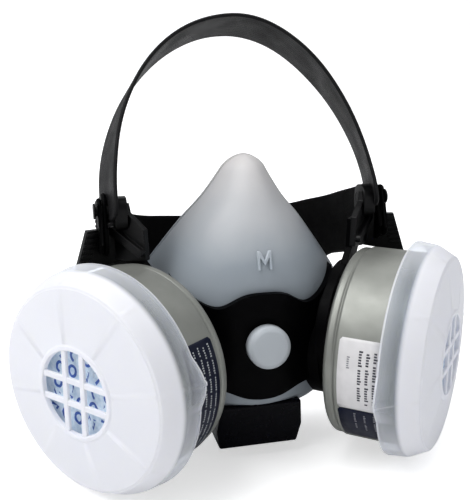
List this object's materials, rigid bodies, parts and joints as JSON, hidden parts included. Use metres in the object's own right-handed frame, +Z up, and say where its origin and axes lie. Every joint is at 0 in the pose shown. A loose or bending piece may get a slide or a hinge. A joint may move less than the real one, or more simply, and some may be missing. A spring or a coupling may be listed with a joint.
{
  "type": "half mask respirator",
  "caption": "Reusable half-mask respirator: soft facepiece, moulded yoke, canister cartridges under push-on filter covers, valves and a head harness.",
  "frame": {"origin": "midpoint of the line joining the centres of the two cartridges' rear faces, where the wearer's mouth looks out", "axes": "+Z up, -Y forward away from the wearer, +Y towards the wearer, +X to the right as seen by someone facing the mask"},
  "size_m": [0.2132, 0.198, 0.1949],
  "materials": {
    "facepiece_rubber": "satin silicone-like elastomer",
    "yoke_plastic": "moulded, slight sheen",
    "guard_plastic": "semi-gloss",
    "button_plastic": "satin",
    "valve_plastic": "satin",
    "valve_rubber": "soft, thin",
    "gasket_rubber": "matte",
    "neck_plastic": "satin",
    "can_metal": "satin tin plate",
    "dark_label": "coated paper",
    "white_label": "coated paper",
    "felt": "needled felt",
    "sorbent": "granular carbon, as one packed disc",
    "screen_metal": "perforated",
    "pad_fibre": "fibre mat",
    "cover_plastic": "translucent polypropylene",
    "strap_webbing": "woven elastic"
  },
  "bodies": {
    "mask_body": {"facepiece": "facepiece_rubber", "yoke": "yoke_plastic", "exhalation_valve_seat": "valve_plastic", "right_port_connector": "valve_plastic", "right_port_gasket": "gasket_rubber", "right_harness_clip": "yoke_plastic", "right_harness_pin": "yoke_plastic", "left_port_connector": "valve_plastic", "left_port_gasket": "gasket_rubber", "left_harness_clip": "yoke_plastic", "left_harness_pin": "yoke_plastic"},
    "button": {"yoke_button": "button_plastic"},
    "exhalation_flap": {"exhalation_valve_flap": "valve_rubber"},
    "guard": {"exhalation_valve_guard": "guard_plastic"},
    "crown_band": {"crown_strap": "strap_webbing"},
    "neck_band": {"nape_strap": "strap_webbing"},
    "right_cartridge": {"right_cartridge_neck": "neck_plastic", "right_canister_shell": "can_metal", "right_canister_label": "dark_label", "right_rear_dust_felt": "felt", "right_sorbent_bed": "sorbent", "right_retaining_screen": "screen_metal", "right_service_label": "white_label"},
    "right_cover": {"right_filter_cover": "cover_plastic", "right_prefilter_pad": "pad_fibre"},
    "right_inhalation_flap": {"right_inhalation_valve_flap": "valve_rubber"},
    "left_cartridge": {"left_cartridge_neck": "neck_plastic", "left_canister_shell": "can_metal", "left_canister_label": "dark_label", "left_rear_dust_felt": "felt", "left_sorbent_bed": "sorbent", "left_retaining_screen": "screen_metal"},
    "left_cover": {"left_filter_cover": "cover_plastic", "left_prefilter_pad": "pad_fibre"},
    "left_inhalation_flap": {"left_inhalation_valve_flap": "valve_rubber"}
  },
  "joints": [
    {"name": "yoke_button_pull", "type": "slide", "parent": "mask_body", "child": "button", "axis": [0, -0.9925, 0.1219], "range_m": [0, 0.01]},
    {"name": "exhalation_flap_lift", "type": "slide", "parent": "mask_body", "child": "exhalation_flap", "axis": [0, 0, -1], "range_m": [0, 0.002]},
    {"name": "exhalation_guard_pull", "type": "slide", "parent": "mask_body", "child": "guard", "axis": [0, 0, -1], "range_m": [0, 0.015]},
    {"name": "crown_strap_swing", "type": "hinge", "parent": "mask_body", "child": "crown_band", "pos_m": [0, 0.0168, 0.0622], "axis": [1, 0, 0], "range_deg": [-12, 40]},
    {"name": "nape_strap_swing", "type": "hinge", "parent": "mask_body", "child": "neck_band", "pos_m": [0, 0.0168, 0.0622], "axis": [1, 0, 0], "range_deg": [-20, 25]},
    {"name": "right_cartridge_twist", "type": "hinge", "parent": "mask_body", "child": "right_cartridge", "pos_m": [0.04705, 0, 0], "axis": [0.766, -0.6428, 0], "range_deg": [0, 90]},
    {"name": "right_cover_pull", "type": "slide", "parent": "right_cartridge", "child": "right_cover", "axis": [0.766, -0.6428, 0], "range_m": [0, 0.022]},
    {"name": "right_inhalation_flap_lift", "type": "slide", "parent": "mask_body", "child": "right_inhalation_flap", "axis": [-0.766, 0.6428, 0], "range_m": [0, 0.002]},
    {"name": "left_cartridge_twist", "type": "hinge", "parent": "mask_body", "child": "left_cartridge", "pos_m": [-0.04705, 0, 0], "axis": [-0.766, -0.6428, 0], "range_deg": [0, 90]},
    {"name": "left_cover_pull", "type": "slide", "parent": "left_cartridge", "child": "left_cover", "axis": [-0.766, -0.6428, 0], "range_m": [0, 0.022]},
    {"name": "left_inhalation_flap_lift", "type": "slide", "parent": "mask_body", "child": "left_inhalation_flap", "axis": [0.766, 0.6428, 0], "range_m": [0, 0.002]}
  ]
}
